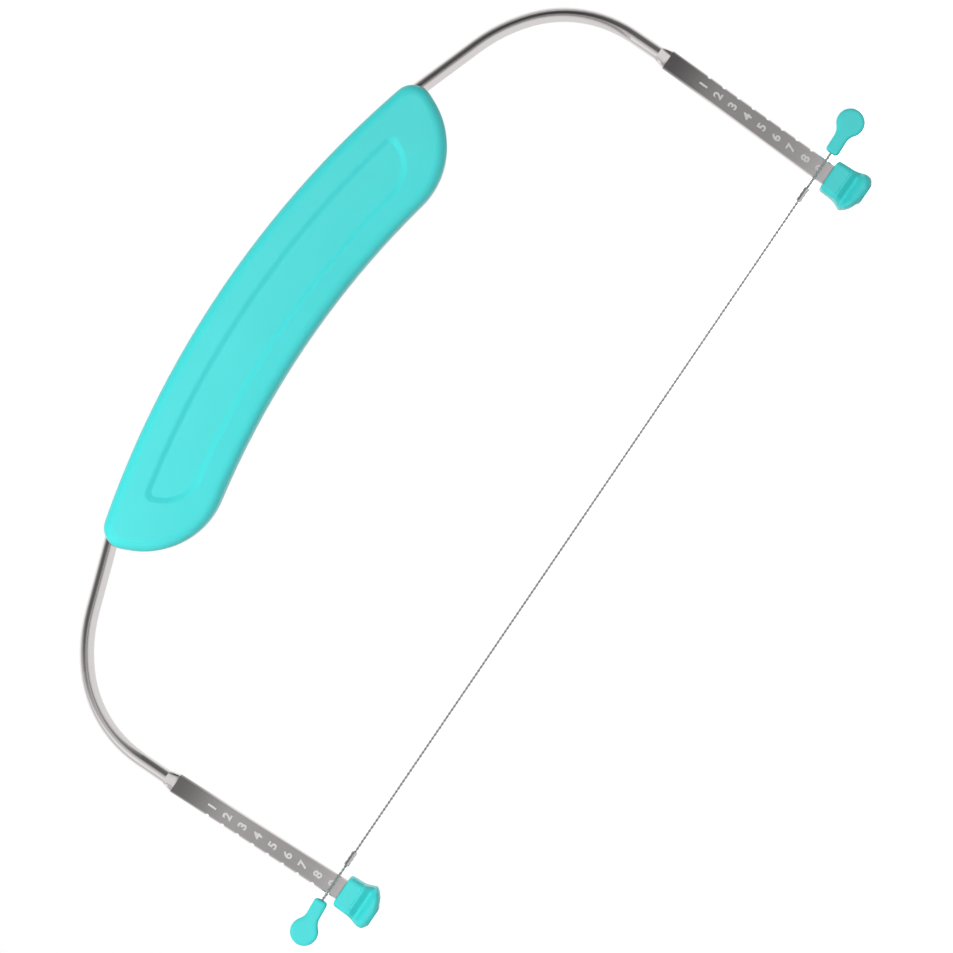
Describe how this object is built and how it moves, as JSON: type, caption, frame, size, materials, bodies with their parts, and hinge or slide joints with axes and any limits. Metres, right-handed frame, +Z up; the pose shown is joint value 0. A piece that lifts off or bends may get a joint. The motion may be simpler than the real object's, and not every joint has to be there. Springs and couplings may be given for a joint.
{
  "type": "cake leveler",
  "caption": "Cake leveler: a cutting wire strung between the notched flat legs of a bent steel rod bow with a moulded two-part grip, two flared feet and two pull tabs.",
  "frame": {"origin": "on the table, midway between the two feet", "axes": "+X along the cutting wire from the left foot to the right foot, +Z up from the soles to the handle, -Y to the numbered front of the legs"},
  "size_m": [0.3032, 0.019, 0.1441],
  "materials": {
    "polished_steel": "polished",
    "turquoise_plastic": "satin gloss",
    "wire_steel": "twisted strands",
    "ferrule_metal": "pinched"
  },
  "bodies": {
    "frame": {"bow_frame": "polished_steel", "handle_front_shell": "turquoise_plastic", "handle_back_shell": "turquoise_plastic", "left_foot": "turquoise_plastic", "right_foot": "turquoise_plastic"},
    "wire": {"cutting_wire": "wire_steel", "left_ferrule": "ferrule_metal", "right_ferrule": "ferrule_metal"},
    "left_tab": {"left_tab": "turquoise_plastic"},
    "right_tab": {"right_tab": "turquoise_plastic"}
  },
  "joints": [
    {"name": "wire_height", "type": "slide", "parent": "frame", "child": "wire", "axis": [0, 0, 1], "range_m": [0, 0.0432]},
    {"name": "left_tab_tilt", "type": "hinge", "parent": "wire", "child": "left_tab", "pos_m": [-0.13759, 0, 0.0155], "axis": [0, 1, 0], "range_deg": [-14, 14], "stiffness_Nm_per_rad": 0.02},
    {"name": "right_tab_tilt", "type": "hinge", "parent": "wire", "child": "right_tab", "pos_m": [0.13759, 0, 0.0155], "axis": [0, 1, 0], "range_deg": [-14, 14], "stiffness_Nm_per_rad": 0.02}
  ]
}
